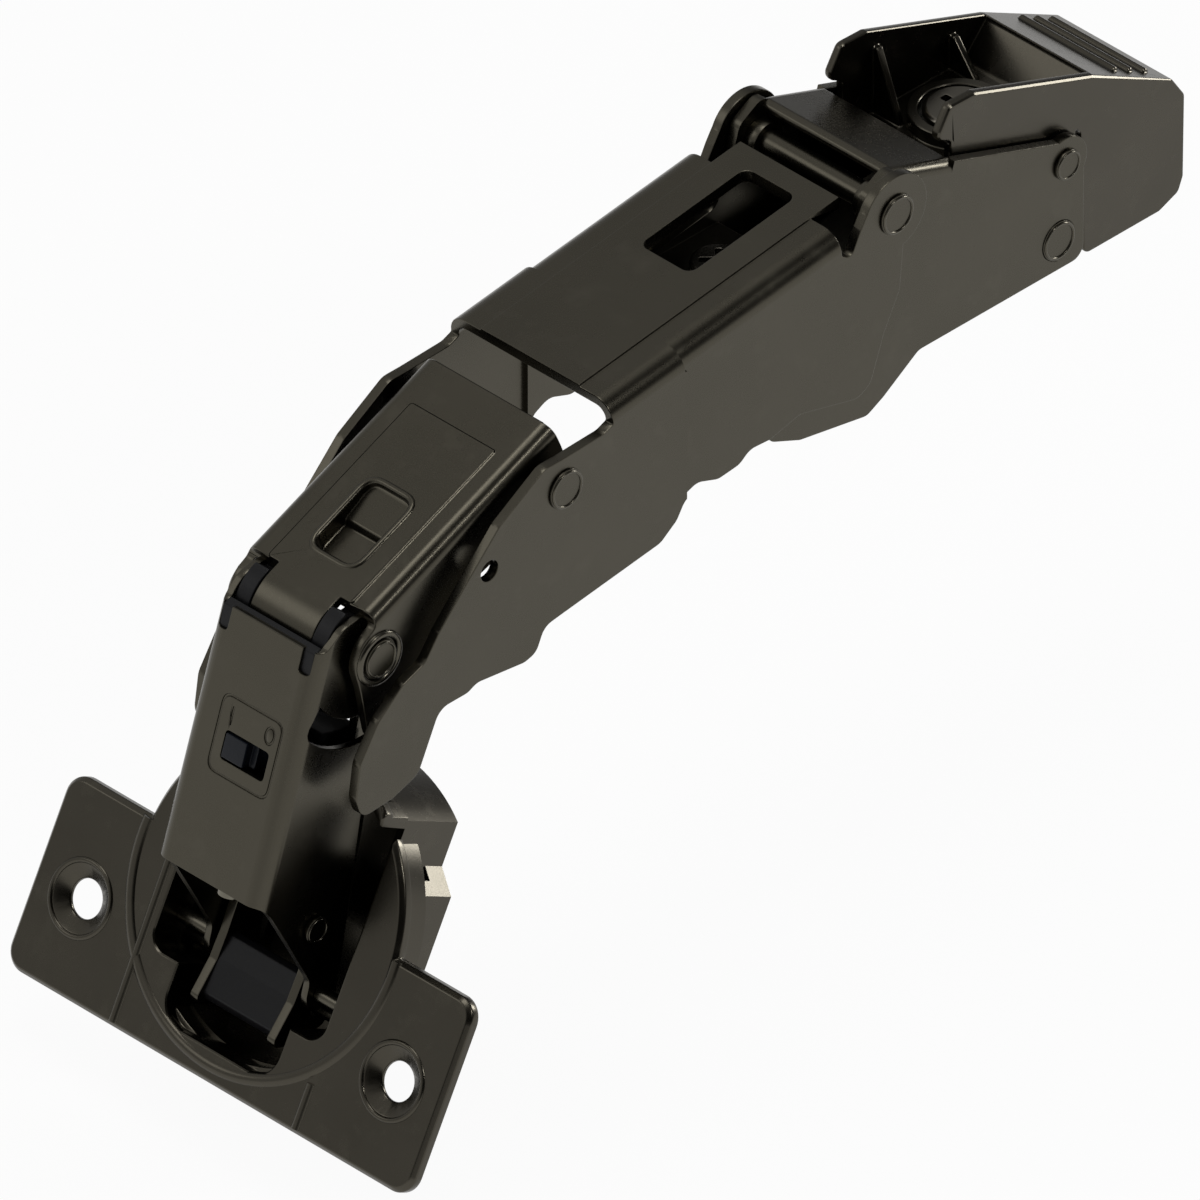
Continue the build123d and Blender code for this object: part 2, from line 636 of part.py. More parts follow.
parts = {
    "base_frame": make_base_frame(),
    "seat_plate": make_seat_plate(),
    "lever_spring": make_lever_spring(),
    "lever_pin": rivet(lever_at, lever_pin_r, base_half, 1.75, 0.4),
    "catch_pin": rod(catch_at, catch_r, sheet - base_half, base_half - sheet)
    + both_sides(disc(catch_at, head_r), base_half - sheet, base_half + 0.1),
    "tilt_pin": rivet(tilt_at, tilt_pin_r, arm_half + 0.02, head_r, head_rise),
    "tilt_bushes": make_tilt_bushes(),
    "clip_lever": make_clip_lever(),
    "depth_cam_screw": make_cam_screw(),
    "side_adjust_screw": make_side_screw(),
    "arm_channel": make_arm(),
    "fold_rivet": rivet(fold_at, fold_rivet_r, arm_front_half, head_r, head_rise),
    "middle_link": make_link(),
    "knuckle_rivet": rivet(knuckle_at, knuckle_r, cheek_half, 2.2, head_rise),
    "swing_rivet": rivet(swing_at, swing_r, cheek_half, 1.4, 0.2),
    "cover_link": make_cover_link(),
    "cover_studs": make_side_studs(),
    "damper_housing": make_damper_housing(),
    "damper_piston": make_damper_piston(),
    "damper_switch": make_damper_switch(),
    "inner_lever": make_inner_lever(),
    "buffer_block": make_buffer_block(),
    "cup_body": make_cup(),
    "cup_pins": make_cup_pins(),
    "tail_pin": make_tail_pin(),
}

os.makedirs("parts", exist_ok=True)
for name, shape in parts.items():
    export_step(shape, f"parts/{name}.step")
    print(name, round(shape.volume, 1))
for name, place in (("tilt", tilt_at), ("fold", fold_at), ("knuckle", knuckle_at), ("swing", swing_at),
                    ("cup pin", cup_pin_at), ("tail", tail_at), ("cup middle", cup_mid)):
    print(name, round(place[0], 3), round(place[1], 3))
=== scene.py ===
import bmesh
import bpy
import json
import math
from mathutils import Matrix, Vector


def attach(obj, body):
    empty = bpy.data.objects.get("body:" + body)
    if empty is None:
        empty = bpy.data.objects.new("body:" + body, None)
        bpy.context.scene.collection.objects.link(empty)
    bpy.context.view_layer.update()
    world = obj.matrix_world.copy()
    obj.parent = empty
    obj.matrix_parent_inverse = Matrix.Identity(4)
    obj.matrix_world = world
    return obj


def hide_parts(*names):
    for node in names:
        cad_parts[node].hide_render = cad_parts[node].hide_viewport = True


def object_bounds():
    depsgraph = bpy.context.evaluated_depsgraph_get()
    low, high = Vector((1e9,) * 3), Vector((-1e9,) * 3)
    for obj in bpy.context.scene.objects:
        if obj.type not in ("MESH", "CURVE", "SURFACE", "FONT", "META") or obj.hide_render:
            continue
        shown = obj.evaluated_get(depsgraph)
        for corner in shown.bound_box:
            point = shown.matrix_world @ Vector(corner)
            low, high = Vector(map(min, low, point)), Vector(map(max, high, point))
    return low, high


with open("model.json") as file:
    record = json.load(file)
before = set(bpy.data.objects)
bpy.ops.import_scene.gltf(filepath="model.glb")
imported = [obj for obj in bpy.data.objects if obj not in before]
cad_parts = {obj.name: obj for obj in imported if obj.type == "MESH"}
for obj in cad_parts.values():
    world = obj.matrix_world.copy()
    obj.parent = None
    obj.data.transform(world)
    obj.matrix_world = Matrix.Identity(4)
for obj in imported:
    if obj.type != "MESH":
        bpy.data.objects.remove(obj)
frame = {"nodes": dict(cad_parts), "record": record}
cad_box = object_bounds()
scene = bpy.context.scene
MM = 0.001


# Shader maths

class Sum:
    """A shader value that can be used in ordinary arithmetic."""

    def __init__(self, tree, socket):
        self.tree = tree
        self.socket = socket

    def step(self, operation, first, second):
        node = self.tree.nodes.new("ShaderNodeMath")
        node.operation = operation
        for index, value in enumerate((first, second)):
            if isinstance(value, Sum):
                self.tree.links.new(value.socket, node.inputs[index])
            else:
                node.inputs[index].default_value = value
        return Sum(self.tree, node.outputs[0])

    def __add__(self, other):
        return self.step("ADD", self, other)

    def __radd__(self, other):
        return self.step("ADD", other, self)

    def __sub__(self, other):
        return self.step("SUBTRACT", self, other)

    def __rsub__(self, other):
        return self.step("SUBTRACT", other, self)

    def __mul__(self, other):
        return self.step("MULTIPLY", self, other)

    def __rmul__(self, other):
        return self.step("MULTIPLY", other, self)


class Nodes:
    """A node tree to which shader nodes are added one by one."""

    def __init__(self, tree):
        self.tree = tree

    def node(self, kind, settings, sockets, out=0):
        """Adds a node: settings first, then a value or a link for each named socket."""
        made = self.tree.nodes.new("ShaderNode" + kind)
        for key, value in settings.items():
            setattr(made, key, value)
        for key, value in sockets.items():
            self.feed(made.inputs[key], value)
        return Sum(self.tree, made.outputs[out])

    def feed(self, socket, value):
        if isinstance(value, Sum):
            self.tree.links.new(value.socket, socket)
        else:
            socket.default_value = value


class Finish(Nodes):
    """One procedural surface, built node by node."""

    def __init__(self, name):
        self.material = bpy.data.materials.new(name)
        self.material.use_nodes = True
        super().__init__(self.material.node_tree)
        self.shader = self.tree.nodes["Principled BSDF"]

    def set(self, **values):
        for key, value in values.items():
            self.feed(self.shader.inputs[key.replace("_", " ")], value)

    def noise(self, scale, detail, rough):
        place = self.node("TexCoord", {}, {}, "Object")
        return self.node("TexNoise", {}, {
            "Vector": place, "Scale": scale, "Detail": detail, "Roughness": rough})

    def blend_colour(self, factor, first, second):
        made = self.tree.nodes.new("ShaderNodeMix")
        made.data_type = "RGBA"
        self.feed(made.inputs[0], factor)
        self.feed(made.inputs[6], first)
        self.feed(made.inputs[7], second)
        return Sum(self.tree, made.outputs[2])

    def bump(self, height, distance, strength):
        return self.node("Bump", {}, {"Height": height, "Distance": distance, "Strength": strength})


def shade(colour, factor):
    """The colour made lighter or darker, with its alpha."""
    return tuple(c * factor for c in colour) + (1.0,)


def plated_metal(name, colour, rough, tint, mottle):
    """Dark nickel plate: slow mottling in colour, fine grain in gloss and height."""
    made = Finish(name)
    slow = made.noise(scale=90.0, detail=4.0, rough=0.55)
    fine = made.noise(scale=2600.0, detail=2.0, rough=0.6)
    handling = made.node("MapRange", {"clamp": True}, {
        "Value": made.noise(scale=260.0, detail=5.0, rough=0.62), 1: 0.56, 2: 0.74, 3: 0.0, 4: 1.0})
    base = made.blend_colour(slow, shade(colour, 1.0 - mottle), shade(colour, 1.0 + mottle))
    made.set(
        Base_Color=made.blend_colour(handling * 0.35, base, shade(tint, 1.0)),
        Metallic=1.0,
        Roughness=rough - 0.05 + slow * 0.07 + fine * 0.05 + handling * 0.05,
        Normal=made.bump(fine * 0.7 + slow * 0.3, distance=0.00001, strength=0.35))
    return made.material


def moulded_plastic(name, colour, rough):
    """Black moulded plastic with a fine grain."""
    made = Finish(name)
    fine = made.noise(scale=2200.0, detail=3.0, rough=0.6)
    slow = made.noise(scale=140.0, detail=2.0, rough=0.5)
    made.set(
        Base_Color=made.blend_colour(slow, shade(colour, 0.75), shade(colour, 1.0)),
        Specular_IOR_Level=0.22,
        Roughness=rough + fine * 0.12 - 0.05,
        Normal=made.bump(fine, distance=0.00003, strength=0.4))
    return made.material


dark_sheet = plated_metal(
    "dark nickel sheet steel",
    colour=(0.072, 0.066, 0.051), rough=0.27, tint=(0.095, 0.087, 0.068), mottle=0.1)
dark_cast = plated_metal(
    "dark nickel die casting",
    colour=(0.068, 0.062, 0.049), rough=0.25, tint=(0.09, 0.083, 0.065), mottle=0.12)
dark_rivet = plated_metal(
    "dark nickel rivet", colour=(0.085, 0.078, 0.061), rough=0.24, tint=(0.11, 0.1, 0.08), mottle=0.1)
screw_plate = plated_metal(
    "plated screw", colour=(0.13, 0.12, 0.1), rough=0.22, tint=(0.18, 0.17, 0.14), mottle=0.1)
spring_plate = plated_metal(
    "spring steel", colour=(0.16, 0.15, 0.12), rough=0.28, tint=(0.2, 0.18, 0.15), mottle=0.1)
black_nylon = moulded_plastic("black nylon", colour=(0.004, 0.004, 0.005), rough=0.42)
blue_black_nylon = moulded_plastic("blue-black nylon", colour=(0.006, 0.008, 0.013), rough=0.34)

finish_of_slot = {
    "dark_steel": dark_sheet, "dark_zinc": dark_cast, "spring_steel": spring_plate,
    "bright_screw": screw_plate, "black_plastic": black_nylon, "switch_plastic": blue_black_nylon,
}
slot_of_node = {row["node"]: row["material_slot"] for row in frame["record"]["subparts"]}
body_of_node = {
    node: body for body, nodes in frame["record"]["behaviour"]["bodies"].items() for node in nodes
}


# Places and directions in the side view, in millimetres

class Stretch:
    """A straight stretch of the hinge. u runs along it, out is square to it and y lies across the hinge."""

    def __init__(self, start, along, lift=0.0):
        self.start = start
        self.along = along
        self.lift = lift

    def from_side(self, u, out, y):
        x, z = self.start
        run, rise = self.along
        out += self.lift
        return (x + run * u - rise * out, y, z + rise * u + run * out)

    def from_above(self, u, y, out):
        return self.from_side(u, out, y)

    def across(self, y, out, u):
        return self.from_side(u, out, y)

    def height(self, place):
        """How far a place in millimetres lies out of the stretch."""
        x, z = self.start
        run, rise = self.along
        return run * (place.z - z) - rise * (place.x - x)


lever_pivot = (-4.76, 6.91)
catch_pin = (-3.75, -2.13)
tilt_pivot = (21.35, 14.24)
fold_pivot = (69.4, 4.26)
knuckle = (93.535, -5.935)
swing_pivot = (92.06, -15.082)

link_along = (0.9211, -0.3893)
base_bridge = Stretch((21.0, 18.5), (0.9444, 0.3287))
middle_link = Stretch(fold_pivot, link_along)
middle_link_web = Stretch(fold_pivot, link_along, lift=5.4)
cover = Stretch(knuckle, (0.319, -0.948))
flange = Stretch((105.05, -46.071), (0.4664, -0.8846))

# Places on the cover link and on the flange
cover_stud = (31.5, -2.5)
cover_cup_pin = (39.35, -6.02)
cup_centre = (-9.5, 0.0)
flange_screw_y = 22.5


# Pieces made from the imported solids, with their edges eased

MERGE_DISTANCE = 1.5e-5
FLAT_ANGLE = 0.7
SHARP_ANGLE = 32.0
SMOOTH_ANGLE = 24.0


def new_piece(name, mesh):
    piece = bpy.data.objects.new(name, mesh)
    scene.collection.objects.link(piece)
    return piece


def finish_piece(piece, material, body, slot, *stands_for):
    piece.data.materials.clear()
    piece.data.materials.append(material)
    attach(piece, body)
    if stands_for:
        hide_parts(*stands_for)
    return piece


def applied(piece):
    """Turns a piece and its modifiers into one plain mesh."""
    bpy.context.view_layer.update()
    graph = bpy.context.evaluated_depsgraph_get()
    mesh = bpy.data.meshes.new_from_object(piece.evaluated_get(graph))
    piece.modifiers.clear()
    piece.data = mesh
    return piece


def merged_mesh(node):
    """A copy of a solid's mesh with its loose triangles joined."""
    mesh = frame["nodes"][node].data.copy()
    shape = bmesh.new()
    shape.from_mesh(mesh)
    bmesh.ops.remove_doubles(shape, verts=shape.verts, dist=MERGE_DISTANCE)
    shape.to_mesh(mesh)
    shape.free()
    return mesh


def smooth_over(piece):
    """Smooth shading, split where faces meet at more than the smooth angle."""
    mesh = piece.data
    mesh.shade_smooth()
    shape = bmesh.new()
    shape.from_mesh(mesh)
    for line in shape.edges:
        if len(line.link_faces) == 2:
            line.smooth = line.calc_face_angle(0.0) < math.radians(SMOOTH_ANGLE)
    shape.to_mesh(mesh)
    shape.free()
    weighted = piece.modifiers.new("weighted normals", "WEIGHTED_NORMAL")
    weighted.keep_sharp = True
    weighted.weight = 80


def ease(piece, edge=0.14, bends=(), segments=2):
    """Rounds a piece's edges. bends lists (test, radius) for edges with a radius of their own, 0 for none."""
    mesh = piece.data
    shape = bmesh.new()
    shape.from_mesh(mesh)
    bmesh.ops.remove_doubles(shape, verts=shape.verts, dist=MERGE_DISTANCE)
    bmesh.ops.dissolve_limit(
        shape, angle_limit=math.radians(FLAT_ANGLE), verts=shape.verts, edges=shape.edges, delimit=set())
    widest = max([edge] + [radius for test, radius in bends])
    layers = shape.edges.layers.float
    weight = layers.get("bevel_weight_edge") or layers.new("bevel_weight_edge")
    for line in shape.edges:
        line[weight] = 0.0
        if len(line.link_faces) != 2 or line.calc_face_angle(0.0) < math.radians(SHARP_ANGLE):
            continue
        wanted = edge
        start = line.verts[0].co / MM
        end = line.verts[1].co / MM
        for test, radius in bends:
            if test(start, end):
                wanted = radius
        line[weight] = wanted / widest
    shape.to_mesh(mesh)
    shape.free()
    bevel = piece.modifiers.new("eased edges", "BEVEL")
    bevel.limit_method = "WEIGHT"
    bevel.width = widest * MM
    bevel.segments = segments
    bevel.use_clamp_overlap = False
    bevel.miter_outer = "MITER_ARC"
    applied(piece)
    smooth_over(piece)


# Flat outlines and the solids made from them

def rounded(points, radius, steps=5):
    """The outline with each corner turned into a short curve."""
    made = []
    for index, point in enumerate(points):
        here = Vector(point)
        before = Vector(points[index - 1])
        after = Vector(points[(index + 1) % len(points)])
        reach = min(radius, 0.45 * (before - here).length, 0.45 * (after - here).length)
        first = here + (before - here).normalized() * reach
        last = here + (after - here).normalized() * reach
        for k in range(steps + 1):
            t = k / steps
            made.append(first.lerp(here, t).lerp(here.lerp(last, t), t))
    return made


def block(low_u, low_v, high_u, high_v):
    """The four corners of an upright rectangle."""
    return [(low_u, low_v), (high_u, low_v), (high_u, high_v), (low_u, high_v)]


def ring_arc(centre, radius, start, end, steps=24):
    """Points round a centre, between two angles in degrees."""
    turns = [math.radians(start + (end - start) * k / steps) for k in range(steps + 1)]
    return [(centre[0] + radius * math.cos(t), centre[1] + radius * math.sin(t)) for t in turns]


def disc(centre, radius):
    return ring_arc(centre, radius, 0, 350, 35)


def oval(centre, half_u, half_v, steps=24):
    turns = [math.radians(360.0 / steps) * k for k in range(steps)]
    return [(centre[0] + half_u * math.cos(t), centre[1] + half_v * math.sin(t)) for t in turns]


def solid(name, outline, low, high, lay):
    """A prism. lay turns two flat coordinates and a height into a place, in millimetres."""
    shape = bmesh.new()
    ends = []
    for height in (low, high):
        ends.append([shape.verts.new(Vector(lay(p[0], p[1], height)) * MM) for p in outline])
    shape.faces.new(ends[0])
    shape.faces.new(list(reversed(ends[1])))
    for i in range(len(outline)):
        j = (i + 1) % len(outline)
        shape.faces.new((ends[0][j], ends[0][i], ends[1][i], ends[1][j]))
    bmesh.ops.recalc_face_normals(shape, faces=shape.faces)
    mesh = bpy.data.meshes.new(name)
    shape.to_mesh(mesh)
    shape.free()
    return new_piece(name, mesh)


def combine(piece, operation, *others):
    """Adds, cuts or keeps what the other solids share with the piece, and removes them."""
    for other in others:
        step = piece.modifiers.new(operation, "BOOLEAN")
        step.operation = operation
        step.solver = "EXACT"
        step.object = other
    applied(piece)
    for other in others:
        bpy.data.objects.remove(other)
    return piece


def channel_section(half, top, bend, thick, low):
    """Section across a folded channel: outer line, then inner line back."""
    def line(shrink):
        radius = bend - shrink
        corner = (half - bend, top - bend)
        right = ring_arc(corner, radius, 90, 0, 8)
        left = [(-y, c) for y, c in reversed(right)]
        return [(-(half - shrink), low)] + left + right + [(half - shrink, low)]
    return line(0.0) + list(reversed(line(thick)))


def round_folds(piece, half, radius, start, end, stretch):
    """Cuts the outer corners of a folded sheet round, between two places along the stretch."""
    spare = 0.3
    for way in (-1, 1):
        corner = ring_arc((half - radius, -radius), radius, 0, 90, 8)
        corner += [(half - radius, spare), (half + spare, spare), (half + spare, -radius)]
        outline = [(way * y, height) for y, height in corner]
        combine(piece, "DIFFERENCE", solid("fold waste", outline, start, end, stretch.across))


# Geometry trees for rivet rings and raised beads

class GeometryTree(Nodes):
    """A node group that turns a mesh of points or lines into metal of a given wire size."""

    def __init__(self, name):
        super().__init__(bpy.data.node_groups.new(name, "GeometryNodeTree"))
        face = self.tree.interface
        face.new_socket("Geometry", in_out="INPUT", socket_type="NodeSocketGeometry")
        wire = face.new_socket("Wire", in_out="INPUT", socket_type="NodeSocketFloat")
        metal = face.new_socket("Metal", in_out="INPUT", socket_type="NodeSocketMaterial")
        face.new_socket("Geometry", in_out="OUTPUT", socket_type="NodeSocketGeometry")
        self.wire = wire.identifier
        self.metal = metal.identifier
        self.inputs = self.tree.nodes.new("NodeGroupInput")

    def given(self, key):
        return Sum(self.tree, self.inputs.outputs[key])

    def geometry(self, kind, settings, sockets):
        made = self.tree.nodes.new("GeometryNode" + kind)
        for key, value in settings.items():
            setattr(made, key, value)
        for key, value in sockets.items():
            self.feed(made.inputs[key], value)
        return Sum(self.tree, made.outputs[0])

    def close(self, shape):
        single = self.geometry("RealizeInstances", {}, {"Geometry": shape})
        dressed = self.geometry("SetMaterial", {}, {"Geometry": single, "Material": self.given("Metal")})
        end = self.tree.nodes.new("NodeGroupOutput")
        self.feed(end.inputs["Geometry"], dressed)
        return self


def build_ring_tree():
    """A ring round every point, lying across the Y axis, as large as the point's own size."""
    made = GeometryTree("rivet rings")
    circle = made.geometry("CurvePrimitiveCircle", {}, {"Resolution": 56, "Radius": 1.0})
    wire = made.geometry("CurvePrimitiveCircle", {}, {"Resolution": 12, "Radius": made.given("Wire")})
    ring = made.geometry("CurveToMesh", {}, {"Curve": circle, "Profile Curve": wire})
    size = made.geometry("InputNamedAttribute", {"data_type": "FLOAT"}, {"Name": "size"})
    rings = made.geometry("InstanceOnPoints", {}, {
        "Points": made.given("Geometry"), "Instance": ring, "Rotation": (math.pi / 2, 0.0, 0.0),
        "Scale": size})
    return made.close(rings)


def build_bead_tree():
    """A round bead along every line of the mesh."""
    made = GeometryTree("raised beads")
    path = made.geometry("MeshToCurve", {}, {"Mesh": made.given("Geometry")})
    wire = made.geometry("CurvePrimitiveCircle", {}, {"Resolution": 16, "Radius": made.given("Wire")})
    bead = made.geometry("CurveToMesh", {}, {"Curve": path, "Profile Curve": wire, "Fill Caps": True})
    return made.close(bead)


ring_tree = build_ring_tree()
bead_tree = build_bead_tree()


def grown(name, mesh, tree, wire, material, body, slot):
    """Runs a geometry tree on a mesh of points or lines and keeps the result as a plain piece."""
    piece = new_piece(name, mesh)
    grow = piece.modifiers.new("grow", "NODES")
    grow.node_group = tree.tree
    grow[tree.wire] = wire
    grow[tree.metal] = material
    applied(piece)
    piece.data.shade_smooth()
    return finish_piece(piece, material, body, slot)


def rivet_rings(name, node, rows, wire=0.085):
    """Rings on both sides. rows lists (pivot, distance from the middle plane, ring radius) in millimetres.

    wire is the ring's thickness as a share of its radius.
    """
    spots = []
    sizes = []
    for (x, z), y, radius in rows:
        for side in (-1, 1):
            spots.append(Vector((x, side * y, z)) * MM)
            sizes.append(radius * MM)
    mesh = bpy.data.meshes.new(name)
    mesh.from_pydata(spots, [], [])
    layer = mesh.attributes.new("size", "FLOAT", "POINT")
    for item, size in zip(layer.data, sizes):
        item.value = size
    grown(name, mesh, ring_tree, wire, dark_rivet, body_of_node[node], "dark_steel")


def bead_lines(name, node, lines, wire):
    """lines lists (places, closed) in millimetres."""
    mesh = bpy.data.meshes.new(name)
    places = []
    edges = []
    for line, closed in lines:
        first = len(places)
        places += [Vector(place) * MM for place in line]
        edges += [(first + k, first + k + 1) for k in range(len(line) - 1)]
        if closed:
            edges.append((first + len(line) - 1, first))
    mesh.from_pydata(places, edges, [])
    slot = slot_of_node[node]
    return grown(name, mesh, bead_tree, wire * MM, finish_of_slot[slot], body_of_node[node], slot)


# Cover link with its black plastics

def make_cover_link():
    """Folded channel with a switch window, corner notches at the knuckle and a bordered panel."""
    half = 7.45
    top = 7.15
    thick = 0.85
    engraved = top - 0.14
    past_top = 9.0
    past_side = 9.0

    section = channel_section(half, top, bend=1.9, thick=thick, low=-12.0)
    channel = solid("cover channel", section, -6.0, 44.0, cover.across)
    side = [
        (-0.3, 7.6), (-0.3, 6.2), (-3.0, 4.5), (-4.2, 2.0), (-4.2, -1.8), (-2.6, -3.7), (2.0, -4.0),
        (6.0, -3.6), (12.0, -4.4), (36.5, -8.2), (38.6, -8.05), (40.3, -7.8), (41.3, -6.6), (41.2, -5.1),
        (40.0, -4.1), (37.75, -4.02), (33.3, 0.5), (29.2, 4.8), (28.3, 6.3), (28.3, 7.6)]
    outline = rounded(side, 0.8)
    combine(channel, "INTERSECT", solid("side outline", outline, -past_side, past_side, cover.from_side))

    def side_cut(name, outline):
        combine(channel, "DIFFERENCE", solid(name, outline, -past_side, past_side, cover.from_side))

    def top_cut(name, outline, depth):
        combine(channel, "DIFFERENCE", solid(name, outline, depth, past_top, cover.from_above))

    def engraved_ring(name, outline, middle):
        ring = solid(name, outline, engraved, past_top, cover.from_above)
        core = solid(name + " middle", middle, engraved - 1.0, past_top + 0.5, cover.from_above)
        combine(ring, "DIFFERENCE", core)
        return ring

    under_web = 5.8
    notch = ring_arc((0, 0), 10.9, 42, -95) + ring_arc((0, 0), 7.6, -95, 42)
    side_cut("swing notch", [(s, min(out, under_web)) for s, out in notch])
    top_cut("switch window", rounded(block(12.05, -2.05, 15.25, 4.1), 0.5), 4.0)
    for way in (-1, 1):
        top_cut("web corner notch", rounded(block(-2.0, way * 5.1, 2.4, way * 6.5), 0.5), 5.6)
    side_cut("knuckle hole", disc((0, 0), 1.35))
    side_cut("cup pin hole", disc(cover_cup_pin, 1.0))
    side_cut("stud hole", disc(cover_stud, 1.0))
    border = rounded(block(8.3, -3.5, 17.0, 5.2), 1.3)
    inside = rounded(block(8.55, -3.25, 16.75, 4.95), 1.1)
    combine(channel, "DIFFERENCE", engraved_ring("panel border", border, inside))
    top_cut("on mark", block(9.4, -1.9, 11.4, -1.65), engraved)
    off_centre = (10.3, 3.6)
    off_mark = engraved_ring("off mark", oval(off_centre, 1.0, 0.7), oval(off_centre, 0.76, 0.46))
    combine(channel, "DIFFERENCE", off_mark)

    channel.name = "cover_link_folded"
    ease(channel, edge=0.1)
    finish_piece(channel, dark_sheet, body_of_node["cover_link"], "dark_steel", "cover_link")


def plastic_part(name, outline, low, high, edge=0.15):
    piece = solid(name, outline, low, high, cover.from_side)
    ease(piece, edge=edge)
    finish_piece(piece, black_nylon, body_of_node["cover_link"], "black_plastic")


def make_cover_plastics():
    """Black parts inside the cover link: seal under the web's top edge, knuckle spacers and damper nose."""
    seal_half = 6.55
    seal = [(-0.7, 6.0), (2.9, 6.0), (2.9, 6.28), (2.4, 6.8), (-0.1, 6.9)]
    plastic_part("web_seal", seal, -seal_half, seal_half)
    spacer = ring_arc((0, 0), 5.5, 15, 140, 16) + ring_arc((0, 0), 4.15, 150, 365, 24)
    plastic_part("knuckle_spacer_left", spacer, -6.5, -4.5)
    plastic_part("knuckle_spacer_right", spacer, 4.5, 6.5)
    nose_half = 4.9
    nose = [(10.5, 0.55), (10.45, -1.0), (10.3, -2.4), (9.9, -3.8), (9.8, -4.3), (13.0, -4.4), (13.0, 0.55)]
    plastic_part("damper_nose", nose, -nose_half, nose_half, edge=0.3)


# Rings on the rivets and pressed beads on the flange

def make_rivet_rings():
    rivet_rings("base_rivet_rings", "base_frame", [(lever_pivot, 10.2, 1.5), (catch_pin, 9.9, 2.0)])
    rivet_rings("arm_rivet_rings", "arm_channel", [(tilt_pivot, 11.52, 2.0), (fold_pivot, 12.0, 2.0)])
    rivet_rings("link_rivet_rings", "middle_link", [(knuckle, 9.6, 1.9), (swing_pivot, 9.5, 1.15)])
    rivet_rings("knuckle_bosses", "middle_link", [(knuckle, 9.2, 2.75)], wire=0.16)
    stud_x, stud_y, stud_z = cover.from_side(*cover_stud, 0.0)
    rivet_rings("cover_stud_rings", "cover_link", [((stud_x, stud_z), 8.05, 1.25)])


def make_flange_beads():
    """Rim round the cup, folds across the flange, and a bead in each screw hole's countersink."""
    rim_height = -0.62
    fold_height = -0.3
    sink_height = -0.12
    fold_front = 9.6
    rim = [flange.from_above(u, y, rim_height) for u, y in ring_arc(cup_centre, 17.9, -95.5, 95.5, 72)]
    bead_lines("flange_rim_bead", "cup_body", [(rim, False)], 0.9)
    folds = []
    for rear, rear_y, front_y in ((-11.2, -13.6, -13.4), (4.6, 13.0, 13.0)):
        start = flange.from_above(rear, rear_y, fold_height)
        end = flange.from_above(fold_front, front_y, fold_height)
        folds.append(([start, end], False))
    bead_lines("flange_fold_beads", "cup_body", folds, 0.6)
    sinks = []
    for way in (-1, 1):
        circle = ring_arc((0.0, way * flange_screw_y), 4.0, 0, 352.5, 47)
        sinks.append(([flange.from_above(u, y, sink_height) for u, y in circle], True))
    bead_lines("screw_hole_beads", "cup_body", sinks, 0.34)


# Middle link

def make_middle_link():
    """Folded channel with a raised middle, a ramped dimple, cheeks for the knuckle and a curled front tab."""
    half = 9.25
    drop = 0.18
    past_side = 12.0
    tab_centre = (26.2, 0.0)
    tab_half = 4.4
    tab_outer = 5.4
    tab_inner = 4.3
    tab_rear = 22.6
    lip_height = -0.22

    section = channel_section(half, -drop, bend=1.7, thick=1.1, low=-20.0)
    channel = solid("link channel", section, -6.0, 34.0, middle_link_web.across)
    side = [(-3.0, 1.0), (-2.2, -2.8), (2.5, -3.4), (14.0, -2.6), (17.6, -3.4), (20.6, -6.2), (24.6, -10.2),
            (28.4, -11.5), (31.2, -8.4), (29.7, -1.4), (29.4, 1.6), (27.4, 3.5), (25.2, 3.8), (24.7, 4.4),
            (24.7, 6.0), (-3.0, 6.0)]
    outline = rounded(side, 1.3)
    combine(channel, "INTERSECT", solid("link side", outline, -past_side, past_side, middle_link.from_side))

    panel = rounded(block(2.4, -6.05, 24.7, 6.05), 0.4)
    tray = rounded(block(10.9, -3.9, 22.2, 3.9), 1.8)
    tab = ring_arc(tab_centre, tab_outer, 90, -7, 20) + ring_arc(tab_centre, tab_inner, -7, 90, 20)
    tab += [(tab_rear, tab_inner), (tab_rear, tab_outer)]
    combine(channel, "UNION", solid("link panel", panel, -0.9, 0.0, middle_link_web.from_above))
    combine(channel, "UNION", solid("link tray", tray, -2.8, -0.4, middle_link_web.from_above))
    combine(channel, "UNION", solid("link tab", tab, -tab_half, tab_half, middle_link.from_side))

    dimple = rounded(block(11.9, -3.0, 21.2, 3.0), 1.5)
    hollow = solid("hollow", dimple, -4.0, 1.0, middle_link_web.from_above)
    ramp = [(10.0, 1.5), (10.0, -0.2), (12.3, -0.7), (16.4, -1.3), (16.9, -2.0), (23.0, -2.0), (23.0, 1.5)]
    combine(hollow, "INTERSECT", solid("ramp", ramp, -5.0, 5.0, middle_link_web.from_side))
    combine(channel, "DIFFERENCE", hollow)
    for place, radius in (((0.0, 0.0), 1.45), (tab_centre, 1.32), ((28.4, -9.0), 0.85)):
        hole = solid("pin hole", disc(place, radius), -past_side, past_side, middle_link.from_side)
        combine(channel, "DIFFERENCE", hole)

    channel.name = "middle_link_folded"
    ease(channel, edge=0.16, segments=3)
    finish_piece(channel, dark_sheet, body_of_node["middle_link"], "dark_steel", "middle_link")
    rim = rounded(block(11.5, -3.4, 21.6, 3.4), 1.9)
    lip = [middle_link_web.from_above(u, y, lip_height) for u, y in rim]
    bead_lines("dimple_lip", "middle_link", [(lip, True)], 0.42)


# The other solids, with the folds of the base rounded

def arm_joggle(start, end):
    """Edges where the arm's side plates step out."""
    rear, front = 51.0, 54.2
    return rear < start.x < front and rear < end.x < front


